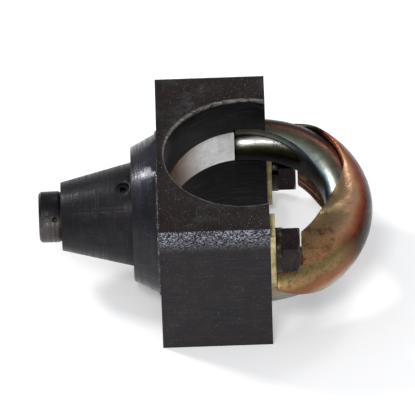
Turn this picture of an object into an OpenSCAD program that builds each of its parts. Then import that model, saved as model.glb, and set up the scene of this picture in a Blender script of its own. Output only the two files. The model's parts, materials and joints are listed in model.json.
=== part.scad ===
// Saddle coupler clamp for scaffold tube: a sawn steel block with an open bore, a tapered
// spigot with a sprung lock pin, and a plated hoop that two bolts draw onto the tube.
// +Z runs along the tube. The origin is on the tube's axis at the foot of the block, and
// +X points from the spigot to the hoop. The clamp looks the same turned half round the
// spigot's axis, so each far piece is the near one turned. Sizes are in millimetres.

/* [Tube] */
// Outside diameter of the scaffold tube
tube_d = 48.3; // [40:0.1:60]
// Gap between tube and bore, on the radius
tube_gap = 0.25; // [0.1:0.05:0.5]

/* [Saddle block] */
// Height of the block along the tube
block_h = 46; // [38:0.5:60]
// Wall between the bore and the spigot's collar
back_wall = 2; // [2:0.1:6]
// Thickness of each wing beside the bore
wing_t = 11.1; // [10.5:0.1:16]
// Distance from the tube's axis to the face that the hoop meets
face_reach = 6.8; // [5:0.1:10]

/* [Saddle liner] */
// Thickness of the plated band let into the bore
liner_t = 1.2; // [0.8:0.1:1.5]
// Width of the band
liner_w = 10.9; // [8:0.1:13]

/* [Spigot] */
// Diameter of the collar where it meets the block
collar_d = 48.8; // [46:0.1:56]
// Diameter of the collar's outer end
collar_end_d = 40.5; // [38:0.1:44]
// Length of the collar
collar_l = 8; // [7:0.1:12]
// Diameter of the cone at the collar
cone_d = 31.5; // [28:0.1:36]
// Diameter of the cone's tip
cone_tip_d = 20.7; // [20.4:0.1:26]
// Length of the cone
cone_l = 21.5; // [20.5:0.1:30]
// Depth that the cone's tail sits in the collar
tail_l = 5; // [3:0.1:6]
// Wall of the cone's tail
tail_wall = 2.1; // [1.5:0.1:3]
// Diameter of the dowels between collar and block
dowel_d = 4; // [3:0.1:5]
// Depth of a dowel in the block and in the collar
dowel_bite = 4; // [3:0.1:5]

/* [Lock pin] */
// Diameter of the lock pin's head
pin_d = 15.5; // [12:0.1:15.6]
// Length of the head that stands out of the cone
pin_out = 6.8; // [6:0.1:10]
// Length of the whole head
pin_head_l = 12.7; // [12:0.1:14]
// Diameter of the pin's stem
stem_d = 8; // [7:0.1:9]
// How far the pin can be pressed in
pin_travel = 5; // [3:0.1:5]
// Wall of the bush that guides the head
guide_wall = 1.1; // [0.8:0.1:1.1]
// Length of the bush that guides the stem
stem_bush_l = 12.2; // [10:0.1:12.6]
// Wire of the return spring
spring_wire = 1.2; // [0.8:0.1:1.4]
// Diameter of the stop screw's thread
stop_d = 4; // [3:0.1:4.4]
// Diameter of the stop screw's dog point
dog_d = 2.4; // [2:0.1:2.6]
// Lean of the stop screw from the top, towards the near side
stop_lean = 17; // [0:1:40]

/* [Hoop] */
// Outside diameter of the hoop's tube
hoop_od = 13; // [11:0.1:15.6]
// Wall of the hoop's tube
hoop_wall = 2.2; // [1.2:0.1:2.4]
// How far the hoop's centre line stands outside the bore wall
hoop_out = 2.4; // [2:0.1:3]
// Distance from the tube's axis to the centre of the hoop's bend
hoop_x = 3.3; // [3:0.1:6]
// Lean of the hoop about the spigot's axis
hoop_tilt = 11.2; // [0:0.1:12]
// Length of the straight legs behind the bend
leg_l = 5.7; // [4:0.1:7]

/* [Strap] */
// Thickness of the pressed strap and its lugs
strap_t = 1.6; // [1.2:0.1:2]
// Gap between hoop and strap
strap_gap = 0.2; // [0.1:0.05:0.4]
// How far the strap's inner lips stand off the hoop beside the bolts
lip_lift = 5.2; // [0:0.1:6]
// Length of a lug above the bolt
lug_up = 10; // [8:0.1:12]
// Length of a lug below the bolt
lug_down = 9.7; // [8:0.1:11]

/* [Bolts] */
// Outside diameter of the bolts
bolt_d = 7.8; // [6:0.1:9.4]
// Length of a bolt under its head
bolt_l = 20; // [16:0.5:25]
// Width across the flats of the head
hex_af = 13; // [11:0.1:15.6]
// Height of the head
head_h = 5.3; // [4:0.1:6.4]
// Outside diameter of the spring washers
washer_d = 13.6; // [12:0.1:14]
// Thickness of the spring washers
washer_t = 2; // [1.5:0.1:2.2]

/* [Hidden] */

$fn = 96;
// Overrun of a cutter past the face that it cuts
over = 1;
// Running clearance of a shaft in its hole, on the radius
run_gap = 0.05;
// Free clearance between pieces that move past each other
free_gap = 0.3;
// Clearance of a bolt in its thread, on the radius
thread_gap = 0.1;

// The block
bore_r = tube_d / 2 + tube_gap;
axis_z = block_h / 2;
back_x = -(bore_r + back_wall);
half_d = bore_r + wing_t;

// The spigot, from the block outwards
collar_x = back_x - collar_l;
tip_x = collar_x - cone_l;
chamber_r = pin_d / 2 + run_gap + guide_wall;
tail_r = chamber_r + tail_wall;
dowel_y = (chamber_r + tail_wall + collar_end_d / 2) / 2 + dowel_d / 2;

// The pin and what guides it
lip_l = 1.5;
head_end_x = tip_x - pin_out + pin_head_l;
guide_x = tip_x + lip_l;
guide_run_out = 0.5;
guide_l = pin_head_l - pin_out - lip_l + pin_travel + guide_run_out;
bush_x = back_x - stem_bush_l;
nose_hole_r = stem_d / 2 + free_gap;
nose_gap = 0.6;
pad_l = 3;
pad_tail_l = 3;
pad_tail_r = 1.5;
pad_x = -bore_r - nose_gap - pad_l;
dog_r = dog_d / 2;
stop_inset = 0.5;
cone_slope = (cone_d - cone_tip_d) / 2 / cone_l;
stop_x = bush_x + dog_r + stop_inset;
stop_tip_r = stem_d / 2 - 1.4;
stop_sink = 0.4;
stop_foot = 0.3;
dog_gap = 0.1;
// Across the corners of the stop screw's hexagon socket
key_r = stop_d / 3.5;
slot_r = dog_r + free_gap;
cross_hole_r = 0.8;
cross_hole_lean = 35;
cross_hole_depth = 3;
// How far outside the cone's tip the cross hole stands
cross_hole_out = 2;
scraper_l = 1.5;
// Where the scraper groove starts, outside the cone's tip
scraper_out = 0.5;
scraper_depth = 0.3;
pin_chamfer = 0.8;
pad_r = stem_d / 2 - 0.4;
spring_turns = 4;
// Gap between the spring's ends and their seats
seat_gap = 0.02;

// The hoop
hoop_r = bore_r + hoop_out;
leg_y = hoop_r * cos(hoop_tilt);
leg_z = -hoop_r * sin(hoop_tilt);
socket_r = hoop_od / 2 + free_gap;
leg_end_x = hoop_x - leg_l;
socket_end_gap = 0.4;
socket_end_x = leg_end_x - socket_end_gap;

// The bolts, beside the hoop's legs and clear of them as they turn
hex_r = hex_af / 2 / cos(30);
head_gap = 1.5;
bolt_y = bore_r + wing_t / 2;
bolt_z = leg_z + sqrt(pow(hex_r + hoop_od / 2 + head_gap, 2) - pow(bolt_y - leg_y, 2));
lug_x = face_reach + strap_t;
head_x = lug_x + washer_t;
head_top_x = head_x + head_h;
thread_r = bolt_d / 2 + thread_gap;
lug_hole_gap = 0.5;
lug_hole_r = bolt_d / 2 + lug_hole_gap;
washer_hole_r = bolt_d / 2 + free_gap;
lug_inset = 0.1;

// The strap's section, as radii about the hoop's centre line
strap_r = hoop_od / 2 + strap_gap;
strap_top_r = strap_r + strap_t;
// Steps along the bend between the two bolt heads, and beside each head
bend_steps = 44;
leg_steps = 4;
// Steps round the section on the two sides of the line where a notch begins
notch_steps = 5;
section_steps = 14;
// The strap ends on the lug's face, and its notches end on a plane just past the bolt heads
notch_gap = 0.5;
notch_x = head_top_x + notch_gap;
strap_end_a = acos((lug_x - hoop_x) / hoop_r);
notch_a = acos((notch_x - hoop_x) / hoop_r);
notch_dy = bolt_y - hoop_r * sin(notch_a) * cos(hoop_tilt);
notch_dz = bolt_z + hoop_r * sin(notch_a) * sin(hoop_tilt);
notch_d = norm([notch_dy, notch_dz]);
notch_reach = hex_r + free_gap;
notch_margin = 2;
// Angle round the section that leaves the bolt's head free to turn
notch_edge = atan2(notch_dz, notch_dy) + hoop_tilt - notch_margin
    - acos((notch_d * notch_d + strap_top_r * strap_top_r - notch_reach * notch_reach)
           / (2 * notch_d * strap_top_r));
// Upper edge of the strap, in degrees round the section, by angle along the bend:
// low at the far leg, over the crown at the middle, right over the hoop at the near leg
upper_edge = [[-90, 138], [-45, 142], [-18, 142], [-6, 132], [8, 104], [22, 74], [45, 42],
              [60, 4], [80, -28]];
// Angles over which the inner lip rises: along the bend, and round the section
lip_bend = 36;
lip_low = 80;
lip_high = 135;
bore_clear = 0.4;

function ease(v, low, high) =
    let (s = min(1, max(0, (v - low) / (high - low)))) s * s * (3 - 2 * s);
function near_lip(a, t) = lip_lift * ease(-a, 0, lip_bend) * ease(t, lip_low, lip_high);
function lip(a, t) = a < 0 ? near_lip(a, t) : near_lip(-a, -t);

// Bend angle of a station, which is a flat plane at each notch and at each end
function turn_to(x, reach) = acos((x - hoop_x) / reach);
function turn_at(a, reach) =
    a < notch_a ? a / notch_a * turn_to(notch_x, reach)
        : turn_to(notch_x, reach) + (a - notch_a) / (strap_end_a - notch_a)
            * (turn_to(lug_x, reach) - turn_to(notch_x, reach));

// A point of the strap: a along the bend, t round the section, skin from the centre line
function strap_point(a, t, skin) =
    let (r = skin + lip(a, t), reach = hoop_r + r * cos(t), turn = sign(a) * turn_at(abs(a), reach))
    [hoop_x + reach * cos(turn), reach * sin(turn), r * sin(t)];

// The upper edge stops short of the scaffold tube's bore
function off_axis(p) = norm([p.x, p.y * cos(hoop_tilt) - p.z * sin(hoop_tilt)]);
function is_clear(a, t) = off_axis(strap_point(a, t, strap_top_r)) >= bore_r + bore_clear;
function clear_edge(a, low, high, tries = 12) =
    let (mid = (low + high) / 2)
    tries == 0 ? low
        : is_clear(a, mid) ? clear_edge(a, mid, high, tries - 1) : clear_edge(a, low, mid, tries - 1);
function edge_top(a) =
    let (t = lookup(a, upper_edge)) is_clear(a, t) ? t : clear_edge(a, 0, t);
function edge_low(a) = -edge_top(-a);

// Section angle of line j: one line follows the near notch, and its mirror image the far one
function near_line(a, j) =
    j <= notch_steps
        ? edge_low(a) + (notch_edge - edge_low(a)) * j / notch_steps
        : notch_edge + (edge_top(a) - notch_edge) * (j - notch_steps) / (section_steps - notch_steps);
function section_line(a, j) =
    let (far = ease(a, -20, 20))
    (1 - far) * near_line(a, j) - far * near_line(-a, section_steps - j);

strap_angles = [
    for (i = [0:leg_steps - 1]) -strap_end_a + (strap_end_a - notch_a) * i / leg_steps,
    for (i = [0:bend_steps]) notch_a * (2 * i / bend_steps - 1),
    for (i = [1:leg_steps]) notch_a + (strap_end_a - notch_a) * i / leg_steps];

module at_axis() translate([0, 0, axis_z]) children();
module along_x(x) translate([x, 0, 0]) rotate([0, 90, 0]) children();
module half_turn() rotate([180, 0, 0]) children();
module tilted() rotate([hoop_tilt, 0, 0]) children();

module bore_cutter(r)
    translate([0, 0, -over]) cylinder(r = r, h = block_h + 2 * over);

// Room for the liner: a leaning slice of the bore wall, from one hoop leg to the other
module liner_room(r) {
    reach = bore_r + liner_t + over;
    intersection() {
        bore_cutter(r);
        at_axis() tilted()
            translate([-reach, -reach, -liner_w / 2])
                cube([reach + socket_end_x, 2 * reach, liner_w]);
    }
}

// The pin's stem and its brass pad pass the block and the liner here
module nose_hole()
    at_axis() along_x(back_x - over) cylinder(r = nose_hole_r, h = back_wall + 2 * over);

module dowel_shape(side)
    at_axis() translate([0, side * dowel_y, 0]) along_x(back_x - dowel_bite)
        cylinder(d = dowel_d, h = 2 * dowel_bite);

module leg_socket()
    tilted() translate([0, -hoop_r, 0]) along_x(socket_end_x)
        cylinder(r = socket_r, h = face_reach - socket_end_x + over);

module bolt_hole()
    translate([0, -bolt_y, bolt_z]) along_x(head_x - bolt_l - over)
        cylinder(r = thread_r, h = face_reach - head_x + bolt_l + 2 * over);

module saddle_block() color("#2b2624")
    difference() {
        translate([back_x, -half_d, 0]) cube([face_reach - back_x, 2 * half_d, block_h]);
        bore_cutter(bore_r);
        liner_room(bore_r + liner_t);
        nose_hole();
        dowel_shape(-1);
        dowel_shape(1);
        at_axis() {
            leg_socket();
            bolt_hole();
            half_turn() {
                leg_socket();
                bolt_hole();
            }
        }
    }

module saddle_liner() color("#c9b98c")
    difference() {
        liner_room(bore_r + liner_t);
        bore_cutter(bore_r);
        nose_hole();
    }

module spigot_collar() color("#2a2a33")
    difference() {
        intersection() {
            at_axis() along_x(collar_x) cylinder(d1 = collar_end_d, d2 = collar_d, h = collar_l);
            translate([collar_x, -collar_d, 0]) cube([collar_l, 2 * collar_d, block_h]);
        }
        at_axis() along_x(collar_x - over) {
            cylinder(r = tail_r, h = tail_l + over);
            cylinder(r = chamber_r, h = collar_l + 2 * over);
        }
        dowel_shape(-1);
        dowel_shape(1);
    }

module spigot_cone() color("#2f2d33")
    at_axis() difference() {
        union() {
            along_x(tip_x) cylinder(d1 = cone_tip_d, d2 = cone_d, h = cone_l);
            along_x(collar_x) cylinder(r = tail_r, h = tail_l);
        }
        along_x(tip_x - over) cylinder(r = pin_d / 2 + free_gap, h = lip_l + 2 * over);
        along_x(guide_x) cylinder(r = chamber_r, h = cone_l + tail_l);
        stop_screw_body(chamber_r - over, cone_d / 2 + over);
    }

module near_dowel() color("#8d8f92") dowel_shape(-1);
module far_dowel() color("#8d8f92") dowel_shape(1);

module pin_guide_bush() color("#a9793a")
    at_axis() along_x(guide_x) difference() {
        cylinder(r = chamber_r, h = guide_l);
        translate([0, 0, -over]) cylinder(r = pin_d / 2 + run_gap, h = guide_l + 2 * over);
    }

module stem_bush() color("#a9793a")
    at_axis() difference() {
        along_x(bush_x) cylinder(r = chamber_r, h = stem_bush_l);
        along_x(bush_x - over) cylinder(r = stem_d / 2 + run_gap, h = stem_bush_l + 2 * over);
        stop_radial(dog_r + dog_gap, 0, chamber_r + over);
    }

// A round bar on the stop screw's line, from one radius to another
module stop_radial(r, low, high)
    translate([stop_x, 0, 0]) rotate([stop_lean, 0, 0]) translate([0, 0, low])
        cylinder(r = r, h = high - low);

module stop_screw_body(low, high) stop_radial(stop_d / 2, low, high);

module stop_screw() color("#3a3a3d") {
    top_r = cone_d / 2 - cone_slope * (collar_x - stop_x + stop_d / 2) - stop_sink;
    socket_depth = 2.2;
    at_axis() difference() {
        union() {
            stop_screw_body(chamber_r + stop_foot, top_r);
            stop_radial(dog_r, stop_tip_r, chamber_r + stop_foot + over);
        }
        translate([stop_x, 0, 0]) rotate([stop_lean, 0, 0])
            translate([0, 0, top_r - socket_depth])
                cylinder(r = key_r, h = socket_depth + over, $fn = 6);
    }
}

// A coil swept along its own helix, with its ends drawn flat against what it bears on
module pin_spring() color("#6f6a60") {
    sides = 8;
    per_turn = 20;
    rings = spring_turns * per_turn;
    coil_r = (stem_d / 2 + chamber_r) / 2;
    low = head_end_x + spring_wire / 2 + seat_gap;
    high = bush_x - spring_wire / 2 - seat_gap;
    points = [
        for (i = [0:rings], s = [0:sides - 1])
            let (a = 360 * i / per_turn,
                 q = 360 * s / sides,
                 r = coil_r + spring_wire / 2 * cos(q),
                 x = low + (high - low) * i / rings + spring_wire / 2 * sin(q))
            [x, r * cos(a), r * sin(a)]];
    walls = [
        for (i = [0:rings - 1], s = [0:sides - 1])
            let (n = (s + 1) % sides, b = i * sides)
            [b + s, b + n, b + sides + n, b + sides + s]];
    first = [[for (s = [sides - 1:-1:0]) s]];
    last = [[for (s = [0:sides - 1]) rings * sides + s]];
    at_axis() polyhedron(points, concat(walls, first, last), convexity = 10);
}

module lock_pin() color("#77746f") {
    head_x0 = tip_x - pin_out;
    stem_l = pad_x - head_end_x;
    slot_low = stop_x - slot_r - pin_travel;
    at_axis() difference() {
        union() {
            along_x(head_x0) cylinder(d1 = pin_d - 2 * pin_chamfer, d2 = pin_d, h = pin_chamfer);
            along_x(head_x0 + pin_chamfer) cylinder(d = pin_d, h = pin_head_l - pin_chamfer);
            along_x(head_end_x) cylinder(d = stem_d, h = stem_l);
        }
        along_x(tip_x - scraper_out) difference() {
            cylinder(d = pin_d + 2 * over, h = scraper_l);
            translate([0, 0, -over]) cylinder(r = pin_d / 2 - scraper_depth, h = scraper_l + 2 * over);
        }
        translate([tip_x - cross_hole_out, 0, 0]) rotate([90 - cross_hole_lean, 0, 0])
            translate([0, 0, pin_d / 2 - cross_hole_depth])
                cylinder(r = cross_hole_r, h = cross_hole_depth + over, $fn = 48);
        rotate([stop_lean, 0, 0])
            translate([slot_low, -slot_r, stop_tip_r - free_gap])
                cube([pin_travel + 2 * slot_r, 2 * slot_r, stem_d]);
        along_x(pad_x - pad_tail_l) cylinder(r = pad_tail_r, h = pad_tail_l + over);
    }
}

module nose_pad() color("#b08a45")
    at_axis() {
        along_x(pad_x) cylinder(r = pad_r, h = pad_l);
        along_x(pad_x - pad_tail_l) cylinder(r = pad_tail_r, h = pad_tail_l);
    }

module hoop_bar(r) {
    rotate([0, 0, -90]) translate([0, hoop_x, 0])
        rotate_extrude(angle = 180) translate([hoop_r, 0]) circle(r = r);
    for (side = [-1, 1])
        translate([0, side * hoop_r, 0]) along_x(leg_end_x) cylinder(r = r, h = leg_l);
}

// The hoop's inner side is machined through with the bore, which opens the tube's wall
module hoop_tube() color("#7d7f7c")
    difference() {
        at_axis() tilted() difference() {
            hoop_bar(hoop_od / 2);
            hoop_bar(hoop_od / 2 - hoop_wall);
            for (side = [-1, 1])
                translate([0, side * hoop_r, 0]) along_x(leg_end_x - over)
                    cylinder(r = hoop_od / 2 - hoop_wall, h = leg_l);
        }
        bore_cutter(bore_r);
    }

// The strap's outer skin, row by row along the bend, then its inner skin
strap_rows = len(strap_angles);
strap_row = section_steps + 1;
function strap_skin(skin) = [
    for (a = strap_angles, j = [0:section_steps]) strap_point(a, section_line(a, j), skin)];
function outer_at(i, j) = i * strap_row + j;
function inner_at(i, j) = strap_rows * strap_row + outer_at(i, j);
// A cell of the skin is left out where a bolt's head has its notch
function is_there(i, j) =
    i >= 0 && i < strap_rows - 1 && j >= 0 && j < section_steps
    && (i >= leg_steps || j < notch_steps)
    && (i < strap_rows - 1 - leg_steps || j >= section_steps - notch_steps);
function flipped(face) = [face[3], face[2], face[1], face[0]];
function across(i, j) = [outer_at(i, j), inner_at(i, j), inner_at(i, j + 1), outer_at(i, j + 1)];
function lengthways(i, j) = [outer_at(i, j), outer_at(i + 1, j), inner_at(i + 1, j), inner_at(i, j)];
function cell_faces(i, j) = [
    [outer_at(i, j), outer_at(i, j + 1), outer_at(i + 1, j + 1), outer_at(i + 1, j)],
    [inner_at(i, j), inner_at(i + 1, j), inner_at(i + 1, j + 1), inner_at(i, j + 1)],
    if (!is_there(i - 1, j)) across(i, j),
    if (!is_there(i + 1, j)) flipped(across(i + 1, j)),
    if (!is_there(i, j - 1)) lengthways(i, j),
    if (!is_there(i, j + 1)) flipped(lengthways(i, j + 1))];
// Each four-sided face is split the same way, so the closed skin has only flat faces
function halves(f) = [[f[0], f[1], f[2]], [f[0], f[2], f[3]]];

module strap_shell() color("#a58a4a") {
    faces = [
        for (i = [0:strap_rows - 2], j = [0:section_steps - 1])
            if (is_there(i, j)) for (face = cell_faces(i, j)) each halves(face)];
    at_axis() tilted()
        polyhedron(concat(strap_skin(strap_top_r), strap_skin(strap_r)), faces, convexity = 6);
}

module lug_plate() {
    low = bolt_z - lug_down;
    difference() {
        translate([face_reach, -half_d, low])
            cube([strap_t, wing_t - lug_inset, lug_up + lug_down]);
        tilted() translate([0, -hoop_r, 0]) along_x(face_reach - over)
            cylinder(r = strap_r + strap_gap, h = strap_t + 2 * over);
        translate([0, -bolt_y, bolt_z]) along_x(face_reach - over)
            cylinder(r = lug_hole_r, h = strap_t + 2 * over);
    }
}

module near_lug() color("#c8ad4e") at_axis() lug_plate();
module far_lug() color("#c8ad4e") at_axis() half_turn() lug_plate();

module spring_washer() {
    split = 1.2;
    split_turn = 60;
    translate([0, -bolt_y, bolt_z]) along_x(lug_x) difference() {
        cylinder(d = washer_d, h = washer_t);
        translate([0, 0, -over]) cylinder(r = washer_hole_r, h = washer_t + 2 * over);
        rotate([0, 0, split_turn]) translate([0, -split / 2, -over])
            cube([washer_d, split, washer_t + 2 * over]);
    }
}

module near_spring_washer() color("#3b3536") at_axis() spring_washer();
module far_spring_washer() color("#3b3536") at_axis() half_turn() spring_washer();

module hex_bolt() {
    tip = 1;
    // Turned so that a corner faces out and up
    head_turn = 49;
    // The head's outer face is chamfered to a circle just inside its flats
    face_r = hex_af / 2 - 0.2;
    // Radius that the chamfer gains for each millimetre of the head's height
    chamfer_slope = 4 / 3;
    translate([0, -bolt_y, bolt_z]) {
        along_x(head_x) intersection() {
            rotate([0, 0, head_turn]) cylinder(r = hex_r, h = head_h, $fn = 6);
            cylinder(r1 = face_r + chamfer_slope * head_h, r2 = face_r, h = head_h);
        }
        along_x(head_x - bolt_l + tip) cylinder(d = bolt_d, h = bolt_l - tip);
        along_x(head_x - bolt_l) cylinder(d1 = bolt_d - 2 * tip, d2 = bolt_d, h = tip);
    }
}

module near_bolt() color("#2f2626") at_axis() hex_bolt();
module far_bolt() color("#2f2626") at_axis() half_turn() hex_bolt();

saddle_block();
saddle_liner();
spigot_collar();
spigot_cone();
near_dowel();
far_dowel();
pin_guide_bush();
stem_bush();
stop_screw();
pin_spring();
lock_pin();
nose_pad();
hoop_tube();
strap_shell();
near_lug();
far_lug();
near_spring_washer();
far_spring_washer();
near_bolt();
far_bolt();
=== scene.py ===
"""Scaffold saddle clamp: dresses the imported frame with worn, plated and blackened steel.

Every size is in metres. The frame gives each piece its place. X runs along the spigot,
Y across the wings and Z along the scaffold tube.
"""

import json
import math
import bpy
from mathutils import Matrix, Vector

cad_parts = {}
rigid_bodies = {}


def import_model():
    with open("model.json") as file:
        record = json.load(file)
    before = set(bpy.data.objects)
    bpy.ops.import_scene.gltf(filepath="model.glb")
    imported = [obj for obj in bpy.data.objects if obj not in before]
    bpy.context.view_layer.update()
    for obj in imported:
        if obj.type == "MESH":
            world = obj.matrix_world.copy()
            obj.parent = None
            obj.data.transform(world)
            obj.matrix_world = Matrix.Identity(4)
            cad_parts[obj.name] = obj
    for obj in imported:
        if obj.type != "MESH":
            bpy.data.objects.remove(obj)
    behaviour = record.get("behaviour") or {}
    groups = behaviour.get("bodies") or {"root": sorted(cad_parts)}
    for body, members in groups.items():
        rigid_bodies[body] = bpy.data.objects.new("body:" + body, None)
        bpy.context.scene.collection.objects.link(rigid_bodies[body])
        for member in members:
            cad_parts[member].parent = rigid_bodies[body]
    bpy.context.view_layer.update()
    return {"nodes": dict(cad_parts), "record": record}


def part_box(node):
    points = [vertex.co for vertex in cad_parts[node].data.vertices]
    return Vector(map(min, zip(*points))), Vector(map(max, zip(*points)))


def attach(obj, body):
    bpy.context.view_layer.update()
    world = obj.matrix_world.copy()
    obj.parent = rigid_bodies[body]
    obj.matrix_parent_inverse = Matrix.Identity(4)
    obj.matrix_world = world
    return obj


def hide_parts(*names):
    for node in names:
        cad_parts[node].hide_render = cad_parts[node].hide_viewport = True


bl_info = {
    "name": "Scaffold Saddle Clamp",
    "version": (1, 0, 0),
    "blender": (4, 5, 0),
    "location": "View3D > Sidebar > Clamp",
    "description": "Builds a saddle clamp with a tapered spigot, a lock pin and a plated hoop",
    "category": "Object",
}

import bpy
from mathutils import Matrix, Vector

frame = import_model()

MM = 0.001
MOUNTS = {mount["name"]: mount for mount in frame["record"]["mounts"]}
BLOCK_LOW, BLOCK_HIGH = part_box("saddle_block")
AXIS_Z = (BLOCK_LOW.z + BLOCK_HIGH.z) / 2
BORE_R = MOUNTS["tube_bore"]["dims"]["r_mm"] * MM

# The hoop: a bend about a centre on the spigot's axis, leaning about that axis
HOOP_X = 3.3 * MM
HOOP_R = BORE_R + 2.4 * MM
HOOP_TUBE_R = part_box("hoop_tube")[1].x - HOOP_X - HOOP_R
HOOP_LEAN = math.radians(11.2)
STRAP_TOP_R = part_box("strap_shell")[1].x - HOOP_X - HOOP_R
LUG_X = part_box("near_lug")[1].x
HEAD_LOW_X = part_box("near_spring_washer")[1].x
BOLT_LOW, BOLT_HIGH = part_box("near_bolt")
BOLT_AXIS = (BOLT_LOW + BOLT_HIGH) / 2
# The thread's crest stands clear of the hole, and the shank has this chamfer and root in the head
THREAD_CREST = 3.9 * MM
SHANK_TIP = 0.5 * MM


def srgb(code):
    """The linear colour, with alpha, of an sRGB hex code."""
    parts = [int(code[i : i + 2], 16) / 255 for i in (1, 3, 5)]
    linear = [c / 12.92 if c <= 0.04045 else ((c + 0.055) / 1.055) ** 2.4 for c in parts]
    return (*linear, 1.0)


def distance(name, description, default):
    return bpy.props.FloatProperty(
        name=name, description=description, default=default, min=0, subtype="DISTANCE", unit="LENGTH"
    )


def tint(name, description, code):
    return bpy.props.FloatVectorProperty(
        name=name, description=description, default=srgb(code), size=4, subtype="COLOR", min=0, max=1
    )


class ClampSizes(bpy.types.PropertyGroup):
    worn_edge: distance("Worn edge", "Width of the rounding on sawn and turned edges", 0.28 * MM)
    fine_edge: distance("Fine edge", "Width of the rounding on small pieces", 0.12 * MM)
    strap_wall: distance("Strap wall", "Thickness of the pressed strap", 1.6 * MM)
    strap_lip: distance("Strap lip", "How far the strap's inner lips stand off beside the bolts", 5.2 * MM)
    thread_pitch: distance("Thread pitch", "Advance of the bolts in one turn", 1.25 * MM)
    thread_depth: distance("Thread depth", "Height of the bolts' thread", 0.65 * MM)
    spring_wire: distance("Spring wire", "Thickness of the return spring's wire", 1.2 * MM)
    spring_turns: bpy.props.FloatProperty(
        name="Spring turns", description="Turns of the return spring", default=4, min=2, max=8
    )
    weld_bead: distance("Weld bead", "Thickness of the weld round the collar", 1.1 * MM)


class ClampColours(bpy.types.PropertyGroup):
    block_dark: tint("Block", "Oiled black oxide of the sawn block", "#222124")
    block_brown: tint("Block bloom", "Brown bloom where the oxide has thinned", "#382d2b")
    block_glint: tint("Block glint", "Bright steel where the oxide is rubbed through", "#a4a6b2")
    collar_dark: tint("Collar", "Black oxide of the turned collar", "#191a1e")
    collar_bloom: tint("Collar bloom", "Violet temper bloom of the collar", "#2c2a36")
    cone_dark: tint("Cone", "Black oxide of the turned cone", "#19181b")
    cone_brown: tint("Cone bloom", "Brown bloom of the cone", "#282326")
    pin_steel: tint("Pin steel", "Burnished steel of the lock pin", "#4f4d4c")
    pin_brown: tint("Pin stain", "Brown stain on the lock pin", "#3b312b")
    bolt_dark: tint("Bolt", "Black oxide of the bolts", "#191517")
    bolt_brown: tint("Bolt bloom", "Brown bloom on the bolts", "#341f1c")
    # The liner's near-white colour is a painted highlight on the rubbed zinc
    liner_zinc_and_highlight: tint("Liner", "Rubbed zinc of the saddle liner", "#ffffff")
    liner_copper: tint("Liner bloom", "Copper bloom on the liner's back", "#6b4a35")
    lug_gold: tint("Lug", "Yellow passivated zinc on the sheared lugs", "#b7aa7c")
    rust: tint("Rust", "Rust in the pits of the strap", "#5b3420")
    bronze: tint("Bronze", "Bearing bronze of the bushes", "#a9793a")
    brass: tint("Brass", "Brass of the nose pad", "#b8924a")
    floor: tint("Floor", "Pale studio floor", "#f7f7f7")


def sizes():
    return bpy.context.scene.clamp_sizes


def colours():
    return bpy.context.scene.clamp_colours


# ---------------------------------------------------------------- modelling helpers


def deselect_all():
    if bpy.context.object and bpy.context.object.mode != "OBJECT":
        bpy.ops.object.mode_set(mode="OBJECT")
    bpy.ops.object.select_all(action="DESELECT")


def only(piece):
    deselect_all()
    piece.select_set(True)
    bpy.context.view_layer.objects.active = piece


def apply_modifier(piece, kind, **settings):
    """Adds one modifier to a piece, sets it and applies it."""
    only(piece)
    modifier = piece.modifiers.new(kind.title(), kind)
    for name, value in settings.items():
        setattr(modifier, name, value)
    bpy.ops.object.modifier_apply(modifier=modifier.name)


def worn_copy(node, name, edge, angle=32):
    """A copy of a CAD node with its triangles joined into faces and its edges rounded."""
    deselect_all()
    source = frame["nodes"][node]
    source.select_set(True)
    bpy.context.view_layer.objects.active = source
    bpy.ops.object.duplicate()
    piece = bpy.context.object
    for key in list(piece.keys()):
        del piece[key]
    bpy.ops.object.parent_clear(type="CLEAR_KEEP_TRANSFORM")
    piece.name = piece.data.name = name
    piece.data.materials.clear()
    bpy.ops.mesh.customdata_custom_splitnormals_clear()
    bpy.ops.object.mode_set(mode="EDIT")
    bpy.ops.mesh.select_all(action="SELECT")
    bpy.ops.mesh.remove_doubles(threshold=0.001 * MM)
    bpy.ops.mesh.dissolve_limited(angle_limit=math.radians(0.4))
    bpy.ops.object.mode_set(mode="OBJECT")
    if edge:
        apply_modifier(
            piece, "BEVEL", width=edge, segments=2, limit_method="ANGLE",
            angle_limit=math.radians(angle), use_clamp_overlap=True, miter_outer="MITER_ARC",
        )
    smooth(piece, angle)
    return piece


def smooth(piece, angle=32):
    only(piece)
    bpy.ops.object.shade_smooth_by_angle(angle=math.radians(angle))


def finish_piece(piece, body, node, material):
    """Seats a piece on its body, in place of its CAD node, with its finish."""
    piece.data.materials.clear()
    piece.data.materials.append(material)
    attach(piece, body)
    if node:
        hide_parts(node)
    return piece


def half_turned(co):
    """The same place on the far side, turned half round the spigot's axis."""
    return Vector((co.x, -co.y, 2 * AXIS_Z - co.z))


# ---------------------------------------------------------------- material helpers


def add(tree, kind, links=None, stops=None, **settings):
    """Adds one shader node, sets it, fills its ramp and links or sets its sockets."""
    node = tree.nodes.new("ShaderNode" + kind)
    for name, value in settings.items():
        setattr(node, name, value)
    if stops:
        ramp = node.color_ramp
        while len(ramp.elements) < len(stops):
            ramp.elements.new(1.0)
        for element, (place, colour) in zip(ramp.elements, stops):
            element.position = place
            element.color = colour
    for socket, value in (links or {}).items():
        if isinstance(value, bpy.types.NodeSocket):
            tree.links.new(value, node.inputs[socket])
        else:
            node.inputs[socket].default_value = value
    return node


def grey(level):
    return (level, level, level, 1.0)


def start_finish(name, **constants):
    """A new material with a principled shader whose constants sit on its own sockets."""
    material = bpy.data.materials.new(name)
    material.use_nodes = True
    tree = material.node_tree
    tree.nodes.clear()
    shader = add(tree, "BsdfPrincipled", {k.replace("_", " "): v for k, v in constants.items()})
    add(tree, "OutputMaterial", {"Surface": shader.outputs[0]})
    return material, tree, shader


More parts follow.
